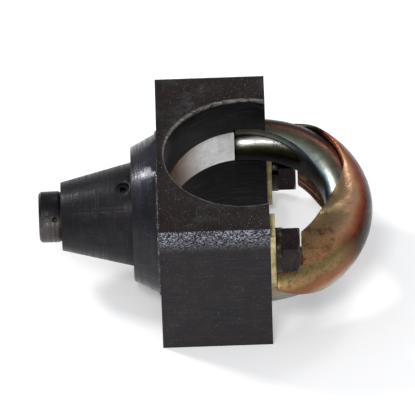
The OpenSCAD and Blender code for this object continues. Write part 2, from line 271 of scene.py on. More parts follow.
def millimetres(tree):
    """The object's own coordinates, in millimetres."""
    place = add(tree, "TexCoord")
    scaled = add(tree, "Mapping", {"Vector": place.outputs["Object"], "Scale": (1000, 1000, 1000)})
    return scaled.outputs[0]


def blended(tree, factor, first, second, mode="MIX"):
    """A colour between two, by a factor."""
    mix = add(tree, "Mix", {0: factor, 6: first, 7: second}, data_type="RGBA", blend_type=mode)
    return mix.outputs[2]


def patches(tree, vector, size, low, high, detail=5.0, roughness=0.6):
    """A 0 to 1 mask of soft patches of that size in millimetres."""
    noise = add(
        tree, "TexNoise", {"Vector": vector, "Scale": 1 / size, "Detail": detail, "Roughness": roughness}
    )
    ramp = add(tree, "ValToRGB", {"Fac": noise.outputs["Fac"]}, [(low, grey(0)), (high, grey(1))])
    return ramp.outputs[0]


def stretched(tree, vector, size):
    """Coordinates in which a mark of that size, in millimetres on each axis, is one unit."""
    return add(tree, "Mapping", {"Vector": vector, "Scale": tuple(1 / s for s in size)}).outputs[0]


def span(tree, value, low, high, out_low=0.0, out_high=1.0):
    """A value mapped smoothly from one range to another."""
    node = add(
        tree, "MapRange",
        {"Value": value, "From Min": low, "From Max": high, "To Min": out_low, "To Max": out_high},
        interpolation_type="SMOOTHSTEP",
    )
    return node.outputs[0]


def reckon(tree, operation, first, second=0.0):
    return add(tree, "Math", {0: first, 1: second}, operation=operation).outputs[0]


def bump(tree, shader, height, depth):
    """Raises the surface by a height map, by that depth in millimetres."""
    node = add(tree, "Bump", {"Height": height, "Strength": 1.0, "Distance": depth * MM})
    tree.links.new(node.outputs[0], shader.inputs["Normal"])


def hypotenuse(tree, first, second):
    """The long side over two short ones that two sockets hold."""
    squares = [reckon(tree, "MULTIPLY", side, side) for side in (first, second)]
    return reckon(tree, "SQRT", reckon(tree, "ADD", *squares))


def hoop_angles(tree, vector):
    """Angle round the hoop's section and along its bend, in degrees, and distance from its middle."""
    placed = add(
        tree, "Mapping",
        {"Vector": vector, "Location": (HOOP_X / MM, 0, AXIS_Z / MM), "Rotation": (HOOP_LEAN, 0, 0)},
        vector_type="TEXTURE",
    )
    axes = add(tree, "SeparateXYZ", {"Vector": placed.outputs[0]}).outputs
    reach = hypotenuse(tree, axes[0], axes[1])
    out = reckon(tree, "SUBTRACT", reach, HOOP_R / MM)
    section = reckon(tree, "DEGREES", reckon(tree, "ARCTAN2", axes[2], out))
    along = reckon(tree, "DEGREES", reckon(tree, "ARCTAN2", axes[1], axes[0]))
    radius = hypotenuse(tree, out, axes[2])
    return section, along, radius


def angle_bands(tree, section, vector, bands, sway=10.0):
    """Colour by angle round the section, with its borders swayed by a soft noise."""
    noise = add(tree, "TexNoise", {"Vector": vector, "Scale": 0.16, "Detail": 3.0})
    swayed = reckon(
        tree, "ADD", section,
        reckon(tree, "MULTIPLY", reckon(tree, "SUBTRACT", noise.outputs["Fac"], 0.5), sway * 2),
    )
    factor = reckon(tree, "ADD", reckon(tree, "DIVIDE", swayed, 360.0), 0.5)
    stops = [((angle + 180) / 360, srgb(code)) for angle, code in bands]
    return add(tree, "ValToRGB", {"Fac": factor}, stops).outputs[0]


# ---------------------------------------------------------------- finishes


def oxide_steel(
    name, dark, bloom, glint, grain,
    patch=7.0, rough=0.46, lift=0.0, metal=0.25, rings=0.0, shine=0.3,
):
    """Black oxide over machined steel: dull and near black, with a thin bloom and fine tool marks.

    grain is the size of a tool mark on each axis, in millimetres, and rings is how bright its crests are
    painted in the glint colour, as a painted highlight.
    """
    material, tree, shader = start_finish(name, Metallic=metal, Specular_IOR_Level=shine)
    mm = millimetres(tree)
    bloomed = blended(tree, patches(tree, mm, patch, 0.42, 0.68), dark, bloom)
    marks = add(
        tree, "TexNoise",
        {"Vector": stretched(tree, mm, grain), "Scale": 1.0, "Detail": 4.0, "Roughness": 0.65},
    ).outputs["Fac"]
    lined = blended(tree, span(tree, marks, 0.35, 0.75, 0.0, 0.55), bloomed, grey(0.0), "MULTIPLY")
    # The crests of the tool marks are painted bright in the glint colour, as a painted highlight
    lined = blended(tree, span(tree, marks, 0.56, 0.7, 0.0, rings), lined, glint)
    # Bright specks of the glint colour are painted glints; real glints are a few hundredths of a millimetre,
    # and these are drawn at 0.3 mm so that they show
    specks = patches(tree, mm, 0.3, 0.66 - lift, 0.78 - lift, detail=2.0)
    spots = reckon(tree, "MULTIPLY", specks, patches(tree, mm, 5.0, 0.4, 0.7))
    tree.links.new(blended(tree, spots, lined, glint), shader.inputs["Base Color"])
    roughness = span(tree, marks, 0.3, 0.7, rough - 0.1, rough + 0.14)
    tree.links.new(roughness, shader.inputs["Roughness"])
    bump(tree, shader, marks, 0.06)
    return material


def block_finish():
    """Sawn block: brown-black ends, charcoal sawn sides, glinting band under the top edges; the top and the
    bore are darkened with painted shade, and the bore's rim carries a painted highlight.
    """
    c = colours()
    material, tree, shader = start_finish(
        "black_oxide_sawn_steel", Metallic=0.0, Specular_IOR_Level=0.1
    )
    mm = millimetres(tree)
    axes = add(tree, "SeparateXYZ", {"Vector": mm}).outputs
    height = (BLOCK_HIGH.z - BLOCK_LOW.z) / MM
    side = BLOCK_HIGH.y / MM
    on_top = span(tree, axes[2], height - 0.35, height - 0.1)
    out_y = reckon(tree, "ABSOLUTE", axes[1])
    on_side = span(tree, out_y, side - 0.4, side - 0.15)
    radius = add(
        tree, "VectorMath",
        {0: add(tree, "CombineXYZ", {"X": axes[0], "Y": axes[1]}).outputs[0]}, operation="LENGTH",
    ).outputs["Value"]
    in_bore = span(tree, radius, BORE_R / MM + 0.35, BORE_R / MM + 0.1)

    bloom = patches(tree, mm, 6.0, 0.38, 0.66)
    base = blended(tree, reckon(tree, "MULTIPLY", bloom, 0.45), c.block_dark, c.block_brown)
    # The top faces are brown-black, painted darker than the sides as painted shade
    top_tone_and_shade = blended(tree, patches(tree, mm, 9.0, 0.3, 0.7), srgb("#161110"), srgb("#241b19"))
    base = blended(tree, on_top, base, top_tone_and_shade)
    # The bore's wall is painted near black, as painted shade inside the recess
    bore_tone_and_shade = blended(tree, patches(tree, mm, 14.0, 0.35, 0.65), srgb("#0c0b0c"), srgb("#171618"))
    base = blended(tree, in_bore, base, bore_tone_and_shade)

    # Saw marks run across each side, about 0.4 mm apart
    saw = add(
        tree, "TexNoise",
        {"Vector": stretched(tree, mm, (9.0, 9.0, 0.42)), "Scale": 1.0, "Detail": 5.0, "Roughness": 0.7},
    ).outputs["Fac"]
    base = blended(tree, span(tree, saw, 0.5, 0.74, 0.0, 0.42), base, srgb("#4b4a4e"))
    # The rubbed band below the top edge of each side is a coarse glitter
    band = reckon(tree, "MULTIPLY", span(tree, axes[2], height - 8.5, height - 1.0), on_side)
    grit = patches(tree, stretched(tree, mm, (0.42, 0.42, 0.26)), 1.0, 0.47, 0.57, 1.0, 0.5)
    glitter = reckon(tree, "MULTIPLY", band, grit)
    base = blended(tree, reckon(tree, "MULTIPLY", glitter, 0.9), base, c.block_glint)
    dark_gap = reckon(tree, "MULTIPLY", band, patches(tree, mm, 1.1, 0.5, 0.62, 3.0))
    base = blended(tree, reckon(tree, "MULTIPLY", dark_gap, 0.8), base, srgb("#101014"))
    # The bore's rim is painted bright, wide on the far side and a hair's width on the near side: worn metal
    # on the chamfer, with a painted highlight where the chamfer catches the light
    rim_width = span(tree, axes[1], -4.0, 14.0, 0.35, 1.3)
    rim = span(tree, reckon(tree, "SUBTRACT", radius, BORE_R / MM), rim_width, 0.0)
    rim = reckon(tree, "MULTIPLY", rim, patches(tree, stretched(tree, mm, (2.4, 1.0, 1.0)), 1.0, 0.36, 0.6))
    rim = reckon(tree, "MULTIPLY", rim, span(tree, axes[2], height - 1.2, height - 0.3))
    base = blended(tree, reckon(tree, "MULTIPLY", rim, 0.75), base, srgb("#8f8984"))
    # White dust and nicks on the top faces, a few tenths of a millimetre across
    dust = reckon(tree, "MULTIPLY", patches(tree, mm, 0.4, 0.67, 0.73, 2.0), 0.9)
    worn = reckon(tree, "MAXIMUM", on_top, reckon(tree, "MULTIPLY", on_side, 0.25))
    base = blended(tree, reckon(tree, "MULTIPLY", dust, worn), base, srgb("#b9b4b0"))
    tree.links.new(base, shader.inputs["Base Color"])

    roughness = span(tree, saw, 0.3, 0.75, 0.42, 0.62)
    polished = add(tree, "Mix", {0: in_bore, 2: roughness, 3: 0.3}, data_type="FLOAT").outputs[0]
    tree.links.new(polished, shader.inputs["Roughness"])
    relief = reckon(tree, "ADD", reckon(tree, "MULTIPLY", saw, 0.5), reckon(tree, "MULTIPLY", glitter, 1.5))
    bump(tree, shader, relief, 0.09)
    return material


def turned_finish(name, dark, bloom, glint, ring, rough, metal, rings, shine):
    """Black oxide over turned steel, with rings left by the lathe tool about the spigot's axis."""
    return oxide_steel(
        name, dark, bloom, glint, (ring, 16.0, 16.0), patch=6.0, rough=rough, lift=0.02,
        metal=metal, rings=rings, shine=shine,
    )


def pin_finish():
    """Burnished pin: the oxide is rubbed off by use, which leaves grey steel with brown stains."""
    c = colours()
    material, tree, shader = start_finish("burnished_turned_steel", Metallic=0.85)
    mm = millimetres(tree)
    rings = add(
        tree, "TexNoise", {"Vector": stretched(tree, mm, (0.35, 20.0, 20.0)), "Scale": 1.0, "Detail": 3.0}
    ).outputs["Fac"]
    tone = blended(tree, patches(tree, mm, 4.5, 0.4, 0.62), c.pin_steel, c.pin_brown)
    tone = blended(tree, span(tree, rings, 0.4, 0.7, 0.0, 0.5), tone, srgb("#2b2827"))
    tone = blended(tree, patches(tree, mm, 0.7, 0.66, 0.7, 2.0), tone, srgb("#161312"))
    # The upper side is painted darker, as painted shade
    height = add(tree, "SeparateXYZ", {"Vector": mm}).outputs[2]
    painted_top_shade = span(tree, height, AXIS_Z / MM + 4.0, AXIS_Z / MM + 6.0)
    tone = blended(tree, painted_top_shade, tone, srgb("#1d1b1d"))
    tree.links.new(tone, shader.inputs["Base Color"])
    tree.links.new(span(tree, rings, 0.3, 0.7, 0.3, 0.5), shader.inputs["Roughness"])
    bump(tree, shader, rings, 0.03)
    return material


def hoop_finish():
    """Clear zinc on bent tube: blue-grey along the crown, going copper and violet down the sides, with a
    painted highlight along the crown and painted shade on the underside.
    """
    material, tree, shader = start_finish("iridescent_zinc_plate", Metallic=0.92)
    mm = millimetres(tree)
    section, along, radius = hoop_angles(tree, mm)
    # Passivation colours lie in bands along the tube: slate, blue-grey, olive, then copper. The same bands
    # hold painted light: a pale blue-grey painted highlight along the crown, and painted shade darkening the
    # underside and the sides that turn away
    far_colour_and_light_bands = [
        (-180, "#1b1c1e"), (-60, "#2b2724"), (0, "#2c2623"), (36, "#171211"), (58, "#26150f"),
        (72, "#43201a"), (86, "#4a362b"), (98, "#5d5b4c"), (114, "#81857a"), (128, "#8f9ca1"),
        (139, "#4a5658"), (152, "#222a2b"), (178, "#141717"),
    ]
    near_colour_and_light_bands = [
        (-180, "#1c1a19"), (-42, "#262220"), (-30, "#3a3631"), (-20, "#7c7868"), (0, "#938f7e"),
        (24, "#75654f"), (45, "#6a4029"), (75, "#74583a"), (110, "#5b594a"), (150, "#343735"),
    ]
    by_bolt = span(tree, along, -34.0, -52.0)
    far_skin = angle_bands(tree, section, mm, far_colour_and_light_bands, 6.0)
    near_skin = angle_bands(tree, section, mm, near_colour_and_light_bands, 9.0)
    skin = blended(tree, by_bolt, far_skin, near_skin)
    # Inside the tube the zinc carries a near-white painted highlight in a band across the hollow, with
    # painted shade on either side of it
    hollow_bands_and_highlight = [
        (-180, "#1d191a"), (-118, "#2a2425"), (-104, "#6d6749"), (-88, "#8f8a5a"), (-77, "#c9c6a6"),
        (-70, "#fffdf6"), (-48, "#fffef8"), (-40, "#a8a39a"), (-30, "#2b2725"), (120, "#1f1c1c"),
        (170, "#332f28"),
    ]
    hollow = angle_bands(tree, section, mm, hollow_bands_and_highlight, 3.0)
    inner = span(tree, radius, HOOP_TUBE_R / MM - 1.6, HOOP_TUBE_R / MM - 2.0)
    tone = blended(tree, inner, skin, hollow)
    spots = patches(tree, mm, 0.5, 0.67, 0.72, 2.0)
    tone = blended(tree, reckon(tree, "MULTIPLY", spots, 0.6), tone, srgb("#2a2622"))
    tree.links.new(tone, shader.inputs["Base Color"])
    wear = patches(tree, mm, 3.0, 0.3, 0.7)
    tree.links.new(span(tree, wear, 0.0, 1.0, 0.26, 0.42), shader.inputs["Roughness"])
    ripple = add(tree, "TexNoise", {"Vector": mm, "Scale": 0.7, "Detail": 4.0}).outputs["Fac"]
    bump(tree, shader, ripple, 0.05)
    return material


def strap_finish():
    """Yellow-passivated zinc on pressed steel: olive gold, with copper along the ridge, a painted highlight
    in pink on it, and painted shade on the outer side and underside.
    """
    c = colours()
    material, tree, shader = start_finish("yellow_zinc_pressed_steel", Metallic=0.82)
    mm = millimetres(tree)
    section, along, _ = hoop_angles(tree, mm)
    # Bands by angle round the section: passivation colours, with a painted highlight along the ridge and
    # beside the bolt, and painted shade darkening the underside and the outer side that turns away
    middle = [
        (-150, "#1e1815"), (-55, "#1d1714"), (-25, "#251e19"), (0, "#2a231d"), (20, "#1b1310"),
        (34, "#2a1812"), (46, "#6d2c1b"), (56, "#a55a3f"), (68, "#c4906e"), (80, "#94755a"),
        (108, "#7a6544"), (135, "#574a32"),
    ]
    near = [
        (-150, "#1e1815"), (-60, "#211a16"), (-40, "#4a3d31"), (-12, "#a08463"), (6, "#8d5a3f"),
        (22, "#7c5536"), (38, "#a3855c"), (50, "#7e7848"), (64, "#b3825a"), (88, "#9a7350"),
        (112, "#77603d"), (140, "#4b3f2b"),
    ]
    crown = angle_bands(tree, section, mm, middle, 9.0)
    by_bolt = angle_bands(tree, section, mm, near, 14.0)
    # The far leg's underside carries a copper film
    copper = blended(tree, patches(tree, mm, 2.5, 0.35, 0.65), srgb("#8a5f50"), srgb("#b08972"))
    tone = blended(tree, span(tree, along, -26.0, -46.0), crown, by_bolt)
    below = reckon(tree, "MULTIPLY", span(tree, section, -95.0, -115.0), span(tree, along, 5.0, 20.0))
    tone = blended(tree, below, tone, copper)
    cloud = patches(tree, mm, 5.0, 0.35, 0.7, 4.0)
    tone = blended(tree, reckon(tree, "MULTIPLY", cloud, 0.22), tone, srgb("#5c5438"))
    # Rust sits in pits round the bolt
    pits = patches(tree, mm, 1.3, 0.5, 0.62, 6.0, 0.8)
    rusty = reckon(tree, "MULTIPLY", pits, span(tree, along, -22.0, -52.0))
    rusty = reckon(tree, "MULTIPLY", rusty, span(tree, section, 10.0, 40.0))
    tone = blended(tree, reckon(tree, "MULTIPLY", rusty, 0.85), tone, c.rust)
    # Brown stains spread from the rust, by the notch
    stain = reckon(
        tree, "MULTIPLY", patches(tree, mm, 3.2, 0.46, 0.6, 6.0, 0.75), span(tree, along, -20.0, -40.0)
    )
    stain = reckon(tree, "MULTIPLY", stain, span(tree, section, 48.0, 78.0))
    tone = blended(tree, reckon(tree, "MULTIPLY", stain, 0.75), tone, srgb("#3d291a"))
    stray = reckon(tree, "MULTIPLY", patches(tree, mm, 0.6, 0.69, 0.74, 2.0), 0.6)
    tone = blended(tree, stray, tone, srgb("#4b3a28"))
    tree.links.new(tone, shader.inputs["Base Color"])
    roughness = reckon(
        tree, "ADD", span(tree, cloud, 0.0, 1.0, 0.24, 0.4), reckon(tree, "MULTIPLY", rusty, 0.3)
    )
    tree.links.new(roughness, shader.inputs["Roughness"])
    ripple = add(
        tree, "TexNoise", {"Vector": mm, "Scale": 0.35, "Detail": 5.0, "Roughness": 0.6}
    ).outputs["Fac"]
    relief = reckon(tree, "SUBTRACT", ripple, reckon(tree, "MULTIPLY", rusty, 0.2))
    bump(tree, shader, relief, 0.16)
    return material


def liner_finish():
    """Rubbed zinc band, near white at its front as a painted highlight, going to a copper bloom at its back
    that is partly painted shade.
    """
    c = colours()
    material, tree, shader = start_finish("rubbed_zinc_band", Metallic=0.9)
    mm = millimetres(tree)
    axes = add(tree, "SeparateXYZ", {"Vector": mm}).outputs
    # Near white at the front is a painted highlight; towards the back it darkens into the copper bloom,
    # partly painted shade
    back = span(tree, axes[0], -9.0, -22.0)
    tone = blended(tree, back, c.liner_zinc_and_highlight, c.liner_copper)
    haze = reckon(tree, "MULTIPLY", patches(tree, mm, 2.2, 0.4, 0.66), 0.3)
    tone = blended(tree, haze, tone, srgb("#a89c84"))
    lines = add(
        tree, "TexNoise", {"Vector": stretched(tree, mm, (5.0, 5.0, 0.3)), "Scale": 1.0, "Detail": 3.0}
    ).outputs["Fac"]
    tone = blended(tree, span(tree, lines, 0.5, 0.8, 0.0, 0.25), tone, srgb("#6f6046"))
    tree.links.new(tone, shader.inputs["Base Color"])
    tree.links.new(span(tree, lines, 0.3, 0.7, 0.3, 0.45), shader.inputs["Roughness"])
    bump(tree, shader, lines, 0.03)
    return material


def lug_finish():
    """Sheared lug: yellow zinc in soft patches of duller gold, with bright streaks across the shear."""
    c = colours()
    material, tree, shader = start_finish("yellow_zinc_sheared_steel", Metallic=0.75)
    mm = millimetres(tree)
    tone = blended(tree, patches(tree, mm, 3.0, 0.35, 0.65), c.lug_gold, srgb("#857850"))
    tone = blended(tree, patches(tree, mm, 1.2, 0.6, 0.7), tone, srgb("#6a5a38"))
    shear = add(
        tree, "TexNoise", {"Vector": stretched(tree, mm, (0.2, 3.0, 3.0)), "Scale": 1.0, "Detail": 3.0}
    ).outputs["Fac"]
    tone = blended(tree, span(tree, shear, 0.55, 0.8, 0.0, 0.4), tone, srgb("#e9dca4"))
    tree.links.new(tone, shader.inputs["Base Color"])
    tree.links.new(span(tree, shear, 0.3, 0.7, 0.35, 0.5), shader.inputs["Roughness"])
    bump(tree, shader, shear, 0.04)
    return material


def plain_metal(name, tone, shade, rough, grain=(0.3, 8.0, 8.0)):
    """Machined bare metal with fine tool marks and a soft variation of tone."""
    material, tree, shader = start_finish(name, Metallic=1.0)
    mm = millimetres(tree)
    marks = add(
        tree, "TexNoise", {"Vector": stretched(tree, mm, grain), "Scale": 1.0, "Detail": 3.0}
    ).outputs["Fac"]
    varied = blended(tree, patches(tree, mm, 3.0, 0.35, 0.65), tone, shade)
    tree.links.new(varied, shader.inputs["Base Color"])
    tree.links.new(span(tree, marks, 0.3, 0.7, rough - 0.06, rough + 0.1), shader.inputs["Roughness"])
    bump(tree, shader, marks, 0.02)
    return material


def floor_finish():
    """Matt pale studio board with a faint tooth, which glows faintly so that it stays near white."""
    material, tree, shader = start_finish(
        "studio_board", Roughness=0.9, Specular_IOR_Level=0.1,
        Emission_Color=colours().floor, Emission_Strength=0.26,
    )
    mm = millimetres(tree)
    tone = blended(tree, patches(tree, mm, 60.0, 0.4, 0.6), colours().floor, srgb("#f4f4f4"))
    tree.links.new(tone, shader.inputs["Base Color"])
    return material


FINISHES = {}


def finish(name):
    """The material of that record slot, or of the weld bead, made once."""
    if name not in FINISHES:
        c = colours()
        glint = srgb("#7d7f86")
        makers = {
            "black_oxide_block": block_finish,
            "black_oxide_collar": lambda: turned_finish(
                "black_oxide_turned_collar", c.collar_dark, c.collar_bloom, glint, 0.5, 0.26, 0.35, 0.03, 0.35
            ),
            "black_oxide_cone": lambda: turned_finish(
                "black_oxide_turned_cone", c.cone_dark, c.cone_brown, glint, 0.4, 0.4, 0.3, 0.1, 0.2
            ),
            "ground_steel": lambda: plain_metal("ground_dowel_steel", srgb("#a4a4a6"), srgb("#8a8a8c"), 0.28),
            "bronze": lambda: plain_metal("bored_bearing_bronze", c.bronze, srgb("#80582a"), 0.34),
            "brass": lambda: plain_metal("turned_brass", c.brass, srgb("#93713a"), 0.3),
            "spring_steel": lambda: plain_metal("oiled_spring_wire", srgb("#77726a"), srgb("#565049"), 0.32),
            "black_oxide_screw": lambda: oxide_steel(
                "black_oxide_set_screw", c.bolt_dark, c.cone_brown, glint, (1.0, 1.0, 0.3)
            ),
            # The weld's dense near-white specks are painted glints, standing in for the highlight along the
            # bead
            "collar_weld": lambda: oxide_steel(
                "black_oxide_weld_bead", c.bolt_dark, c.block_brown, srgb("#d4cdc8"),
                (0.8, 0.8, 0.8), patch=1.5, rough=0.34, lift=0.14, metal=0.5,
            ),
            "black_oxide_bolt": lambda: oxide_steel(
                "black_oxide_fastener_steel", c.bolt_dark, c.bolt_brown, srgb("#8d8c98"),
                (0.4, 3.0, 3.0), patch=3.0, rough=0.34, lift=0.03, metal=0.5,
            ),
            "burnished_steel": pin_finish,
            "zinc_plated_tube": hoop_finish,
            "yellow_zinc_strap": strap_finish,
            "yellow_zinc_liner": liner_finish,
            "yellow_zinc_lug": lug_finish,
        }
        FINISHES[name] = makers[name]()
    return FINISHES[name]


# ---------------------------------------------------------------- the strap's shape

# Steps along the bend between the bolt heads, beside each head, and round the section
BEND_STEPS = 88
LEG_STEPS = 8
SECTION_STEPS = 26
NOTCH_STEPS = 9
# Upper edge of the strap, in degrees round the section, by angle along the bend
UPPER_EDGE = [
    (-90, 138), (-45, 142), (-18, 142), (-6, 132), (8, 104), (22, 74), (45, 42), (60, 4), (80, -28)
]
NOTCH_X = BOLT_HIGH.x + 0.5 * MM
END_ANGLE = math.degrees(math.acos((LUG_X - HOOP_X) / HOOP_R))
NOTCH_ANGLE = math.degrees(math.acos((NOTCH_X - HOOP_X) / HOOP_R))
NOTCH_EDGE = 67.0
BORE_GAP = 0.4 * MM


def grid_cells(sheet, rows):
    """Row and column of each vertex of the flat grid, two units across, that the strap starts as."""
    return [
        (round((v.co.x + 1) / 2 * rows), round((v.co.y + 1) / 2 * SECTION_STEPS))
        for v in sheet.data.vertices
    ]


def ease(value, low, high):
    share = min(1.0, max(0.0, (value - low) / (high - low)))
    return share * share * (3 - 2 * share)


def lip(angle, section):
    """How far the strap's inner lips stand off the hoop beside the bolts."""
    if angle > 0:
        angle, section = -angle, -section
    return sizes().strap_lip * ease(-angle, 0, 36) * ease(section, 80, 135)


def turn_to(x, reach):
    return math.acos((x - HOOP_X) / reach)


def strap_place(angle, section, skin):
    """A place on the strap. The notches and the ends lie on flat planes."""
    radius = skin + lip(angle, section)
    reach = HOOP_R + radius * math.cos(math.radians(section))
    size = abs(angle)
    turn = turn_to(NOTCH_X, reach)
    if size < NOTCH_ANGLE:
        turn *= size / NOTCH_ANGLE
    else:
        share = (size - NOTCH_ANGLE) / (END_ANGLE - NOTCH_ANGLE)
        turn += share * (turn_to(LUG_X, reach) - turn)
    turn = math.copysign(turn, angle)
    flat = Vector((reach * math.cos(turn), reach * math.sin(turn), radius * math.sin(math.radians(section))))
    return Matrix.Rotation(HOOP_LEAN, 3, "X") @ flat + Vector((HOOP_X, 0, AXIS_Z))


def upper_edge(angle):
    """The upper edge, held clear of the scaffold tube's passage."""
    for (a0, e0), (a1, e1) in zip(UPPER_EDGE, UPPER_EDGE[1:]):
        if angle <= a1:
            edge = e0 + (e1 - e0) * (angle - a0) / (a1 - a0)
            break
    low, high = 0.0, edge
    if strap_place(angle, edge, STRAP_TOP_R).xy.length >= BORE_R + BORE_GAP:
        return edge
    for _ in range(14):
        middle = (low + high) / 2
        if strap_place(angle, middle, STRAP_TOP_R).xy.length >= BORE_R + BORE_GAP:
            low = middle
        else:
            high = middle
    return low


def near_line(angle, low, high, j):
    if j <= NOTCH_STEPS:
        return low + (NOTCH_EDGE - low) * j / NOTCH_STEPS
    return NOTCH_EDGE + (high - NOTCH_EDGE) * (j - NOTCH_STEPS) / (SECTION_STEPS - NOTCH_STEPS)


def section_lines(angle):
    """The section angles of every line at one station, from the lower edge to the upper."""
    low, high = -upper_edge(-angle), upper_edge(angle)
    far = ease(angle, -20, 20)
    return [
        (1 - far) * near_line(angle, low, high, j) - far * near_line(-angle, -high, -low, SECTION_STEPS - j)
        for j in range(SECTION_STEPS + 1)
    ]


def stations():
    legs = [END_ANGLE + (NOTCH_ANGLE - END_ANGLE) * i / LEG_STEPS for i in range(LEG_STEPS)]
    bend = [NOTCH_ANGLE * (2 * i / BEND_STEPS - 1) for i in range(BEND_STEPS + 1)]
    return [-angle for angle in legs] + bend + legs[::-1]


def is_notched(i, j, rows):
    """Whether the strap has no metal in that cell, where a bolt's head has its room."""
    return (i < LEG_STEPS and j >= NOTCH_STEPS) or (
        i >= rows - LEG_STEPS and j < SECTION_STEPS - NOTCH_STEPS
    )


# ---------------------------------------------------------------- operators


class ClampOperator:
    """What every piece's operator shares."""

    bl_options = {"REGISTER", "UNDO"}


class CLAMP_OT_saddle(ClampOperator, bpy.types.Operator):
    """Build the sawn saddle block and its liner"""

    bl_idname = "clamp.saddle"
    bl_label = "Saddle block"

    def execute(self, context):
        block = worn_copy("saddle_block", "saddle_block_worn", sizes().worn_edge)
        finish_piece(block, "block", "saddle_block", finish("black_oxide_block"))
        liner = worn_copy("saddle_liner", "saddle_liner_worn", sizes().fine_edge)
        finish_piece(liner, "block", "saddle_liner", finish("yellow_zinc_liner"))
        return {"FINISHED"}


class CLAMP_OT_weld(ClampOperator, bpy.types.Operator):
    """Build the thin weld bead between the collar and the block"""

    bl_idname = "clamp.weld"
    bl_label = "Collar weld"

    def execute(self, context):
        deselect_all()
        collar_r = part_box("spigot_collar")[1].y
        bead = sizes().weld_bead / 2
        bpy.ops.mesh.primitive_torus_add(
            major_radius=collar_r, minor_radius=bead, major_segments=240, minor_segments=10,
            location=(BLOCK_LOW.x, 0, AXIS_Z), rotation=(0, math.pi / 2, 0),
        )
        piece = bpy.context.object
        piece.name = piece.data.name = "collar_weld_bead"
        bpy.ops.object.transform_apply(location=True, rotation=True, scale=True)
        top = BLOCK_HIGH.z - 0.25 * MM
        low = BLOCK_LOW.z + 0.25 * MM
        for vertex in piece.data.vertices:
            out = vertex.co - Vector((BLOCK_LOW.x, 0, AXIS_Z))
            angle = math.atan2(out.y, out.z)
            # Overlapping pools of weld, one every 1.5 mm of the seam
            ripple = 0.16 * math.sin(angle * 100) + 0.10 * math.sin(angle * 37 + 1.3)
            ring = Vector((0, out.y, out.z)).normalized() * collar_r
            vertex.co = Vector((BLOCK_LOW.x, 0, AXIS_Z)) + ring + (out - ring) * (1 + ripple)
            vertex.co.z = min(top, max(low, vertex.co.z))
        smooth(piece, 60)
        finish_piece(piece, "block", None, finish("collar_weld"))
        return {"FINISHED"}


class CLAMP_OT_spigot(ClampOperator, bpy.types.Operator):
    """Build the tapered collar and cone, with their dowels, bushes and stop screw"""

    bl_idname = "clamp.spigot"
    bl_label = "Spigot"

    def execute(self, context):
        s = sizes()
        parts = (
            ("spigot_collar", s.worn_edge, "black_oxide_collar"),
            ("spigot_cone", s.worn_edge, "black_oxide_cone"),
            ("near_dowel", s.fine_edge, "ground_steel"),
            ("far_dowel", s.fine_edge, "ground_steel"),
            ("pin_guide_bush", s.fine_edge, "bronze"),
            ("stem_bush", s.fine_edge, "bronze"),
            ("stop_screw", s.fine_edge, "black_oxide_screw"),
        )
        for node, edge, slot in parts:
            piece = worn_copy(node, node + "_worn", edge)
            finish_piece(piece, "block", node, finish(slot))
        return {"FINISHED"}


class CLAMP_OT_pin(ClampOperator, bpy.types.Operator):
    """Build the lock pin, its nose pad and its coiled return spring"""

    bl_idname = "clamp.pin"
    bl_label = "Lock pin"

    def execute(self, context):
        s = sizes()
        pin = worn_copy("lock_pin", "lock_pin_worn", s.fine_edge)
        finish_piece(pin, "pin", "lock_pin", finish("burnished_steel"))
        pad = worn_copy("nose_pad", "nose_pad_worn", s.fine_edge)
        finish_piece(pad, "pin", "nose_pad", finish("brass"))

        low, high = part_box("pin_spring")
        coil_r = (high.z - low.z - s.spring_wire) / 2
        length = high.x - low.x - s.spring_wire
        deselect_all()
        bpy.ops.mesh.primitive_circle_add(
            vertices=14, radius=s.spring_wire / 2, location=(0, 0, 0),
        )
        coil = bpy.context.object
        coil.name = coil.data.name = "pin_spring_coil"
        bpy.ops.object.transform_apply(location=True, rotation=True, scale=True)
        low_x = low.x + s.spring_wire / 2
        wire = s.spring_wire / 2
        for i, vertex in enumerate(coil.data.vertices):
            turn = 2 * math.pi * i / len(coil.data.vertices)
            vertex.co = Vector((low_x + wire * math.cos(turn), 0, coil_r + wire * math.sin(turn)))
        apply_modifier(
            coil, "SCREW", axis="X", angle=2 * math.pi * s.spring_turns, screw_offset=length,
            steps=int(36 * s.spring_turns), render_steps=int(36 * s.spring_turns), use_smooth_shade=True,
            use_normal_calculate=True,
        )
        for vertex in coil.data.vertices:
            vertex.co.z += AXIS_Z
        close_ends(coil)
        finish_piece(coil, "block", "pin_spring", finish("spring_steel"))
        return {"FINISHED"}


def close_ends(piece):
    """Caps the open rims of a swept piece and turns its faces outwards."""
    only(piece)
    bpy.ops.object.mode_set(mode="EDIT")
    bpy.ops.mesh.select_all(action="SELECT")
    bpy.ops.mesh.remove_doubles(threshold=0.0005 * MM)
    bpy.ops.mesh.select_all(action="DESELECT")
    bpy.ops.mesh.select_non_manifold(
        extend=False, use_wire=False, use_multi_face=False, use_non_contiguous=False, use_verts=False
    )
    bpy.ops.mesh.edge_face_add()
    bpy.ops.mesh.select_all(action="SELECT")
    bpy.ops.mesh.normals_make_consistent(inside=False)
    bpy.ops.object.mode_set(mode="OBJECT")


class CLAMP_OT_hoop(ClampOperator, bpy.types.Operator):
    """Build the plated tube hoop with its machined inner side"""

    bl_idname = "clamp.hoop"
    bl_label = "Hoop"

    def execute(self, context):
        hoop = worn_copy("hoop_tube", "hoop_tube_plated", sizes().fine_edge)
        finish_piece(hoop, "hoop", "hoop_tube", finish("zinc_plated_tube"))
        return {"FINISHED"}


